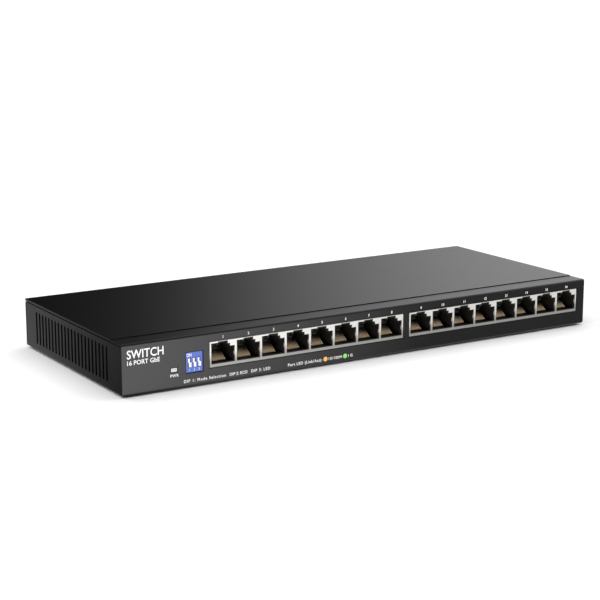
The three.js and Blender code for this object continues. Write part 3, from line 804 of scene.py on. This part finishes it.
# The floor's brightness in the case's gloss, in front of the case and beside it: a direction, the span of its
# dot product with the position, and the brightness at both ends. Over edge, a span in y, the first gives way
# to the second.
BOUNCE = {
    "front": ((1.0, 0.75, 0.0), (-183.0, -13.0), (2.0, 0.3)),
    "side": ((2.2, 1.0, 0.0), (-360.0, -250.0), (0.11, 0.46)),
    "edge": (-62.0, -58.5),
}


def camera():
    """The camera, which looks down by its elevation."""
    data = bpy.data.cameras.new("camera")
    data.sensor_width = 36.0
    data.lens = CAMERA_LENS
    data.clip_start = 0.01
    data.clip_end = 100.0
    obj = bpy.data.objects.new("camera", data)
    obj.location = CAMERA_PLACE
    obj.rotation_euler = (radians(90 - CAMERA_ELEVATION), 0, radians(-CAMERA_AZIMUTH))
    bpy.context.scene.collection.objects.link(obj)
    bpy.context.scene.camera = obj


def plane(name, height, material):
    """A flat square in the studio, which isn't part of the object."""
    bm = bmesh.new()
    bmesh.ops.create_grid(bm, x_segments=1, y_segments=1, size=FLOOR_HALF)
    mesh = bpy.data.meshes.new(name)
    bm.to_mesh(mesh)
    bm.free()
    mesh.materials.append(material)
    obj = bpy.data.objects.new(name, mesh)
    obj.location.z = height
    bpy.context.scene.collection.objects.link(obj)
    return obj


def floor():
    """The pale floor. Its own gloss is left out, so what the paint mirrors of it is set by bounce() alone."""
    m = Nodes("pale_floor")
    m.colour(m.mix(m.noise(400.0), (0.79, 0.79, 0.79), (0.8, 0.8, 0.8)))
    m.rough(m.noise(50.0), 0.9, 1.0)
    m.set(Specular_IOR_Level=0.0)
    obj = plane("floor", 0.0, m.material)
    obj.visible_glossy = False
    return obj


def bounce():
    """The floor as the case's gloss sees it: bright in front on the left, dark beside the front end."""
    m = Nodes("floor_bounce")
    m.set(Specular_IOR_Level=0.0, Emission_Color=(1.0, 1.0, 1.0, 1.0))
    m.shader.inputs["Base Color"].default_value = (0.0, 0.0, 0.0, 1.0)
    front, side = (
        m.ramp(m.rise(direction, span), *brightness)
        for direction, span, brightness in (BOUNCE["front"], BOUNCE["side"])
    )
    chosen = m.tree.nodes.new("ShaderNodeMix")
    m.tree.links.new(m.rise((0, 1, 0), BOUNCE["edge"]), chosen.inputs["Factor"])
    m.tree.links.new(front, chosen.inputs["A"])
    m.tree.links.new(side, chosen.inputs["B"])
    m.tree.links.new(chosen.outputs["Result"], m.shader.inputs["Emission Strength"])
    m.material.cycles.emission_sampling = "NONE"
    obj = plane("floor_bounce", UNDER_FLOOR, m.material)
    obj.visible_camera = obj.visible_diffuse = obj.visible_shadow = obj.visible_transmission = False


def world():
    """White behind everything; as a light it is dim, with one large soft panel behind and to the right."""
    made = bpy.data.worlds.new("studio")
    made.use_nodes = True
    tree = made.node_tree
    seen = tree.nodes["Background"]
    seen.inputs["Color"].default_value = (1.0, 1.0, 1.0, 1.0)
    coordinates = tree.nodes.new("ShaderNodeTexCoord")
    towards = tree.nodes.new("ShaderNodeVectorMath")
    towards.operation = "DOT_PRODUCT"
    azimuth, elevation = radians(PANEL["azimuth"]), radians(PANEL["elevation"])
    towards.inputs[1].default_value = (
        sin(azimuth) * cos(elevation), cos(azimuth) * cos(elevation), sin(elevation),
    )
    tree.links.new(coordinates.outputs["Generated"], towards.inputs[0])
    panel = tree.nodes.new("ShaderNodeMapRange")
    panel.inputs["From Min"].default_value = cos(radians(PANEL["outer"]))
    panel.inputs["From Max"].default_value = cos(radians(PANEL["inner"]))
    panel.inputs["To Min"].default_value = WORLD_LIGHT
    panel.inputs["To Max"].default_value = PANEL["strength"]
    tree.links.new(towards.outputs["Value"], panel.inputs["Value"])
    dim = tree.nodes.new("ShaderNodeBackground")
    tree.links.new(panel.outputs["Result"], dim.inputs["Strength"])
    path = tree.nodes.new("ShaderNodeLightPath")
    mixed = tree.nodes.new("ShaderNodeMixShader")
    tree.links.new(path.outputs["Is Camera Ray"], mixed.inputs[0])
    tree.links.new(dim.outputs[0], mixed.inputs[1])
    tree.links.new(seen.outputs[0], mixed.inputs[2])
    tree.links.new(mixed.outputs[0], tree.nodes["World Output"].inputs["Surface"])
    bpy.context.scene.world = made


def sun(name, azimuth, elevation, strength, spread, objects, only):
    """A broad far light that lights the given objects only, or everything but them."""
    data = bpy.data.lights.new(name, "SUN")
    data.energy = strength
    data.angle = radians(spread)
    obj = bpy.data.objects.new(name, data)
    obj.rotation_euler = (radians(elevation - 90), 0, radians(-azimuth))
    bpy.context.scene.collection.objects.link(obj)
    linked = bpy.data.collections.new(f"{name}_receivers")
    for receiver in objects:
        linked.objects.link(receiver)
    for entry in linked.collection_objects:
        entry.light_linking.link_state = "INCLUDE" if only else "EXCLUDE"
    obj.light_linking.receiver_collection = linked


def studio(unlit):
    """The floor, the background and two lights. The key leaves out the floor and the pieces in unlit."""
    ground = floor()
    bounce()
    world()
    sun("sky", **SKY, objects=[ground], only=True)
    sun("key", **KEY, objects=[ground, *unlit], only=False)
    bpy.context.scene.view_settings.view_transform = "Standard"


camera()
paintwork = case()
plastic = jacks()
dip_switch()
board_and_parts()
dc_inlet()
printing()
studio(paintwork + plastic)
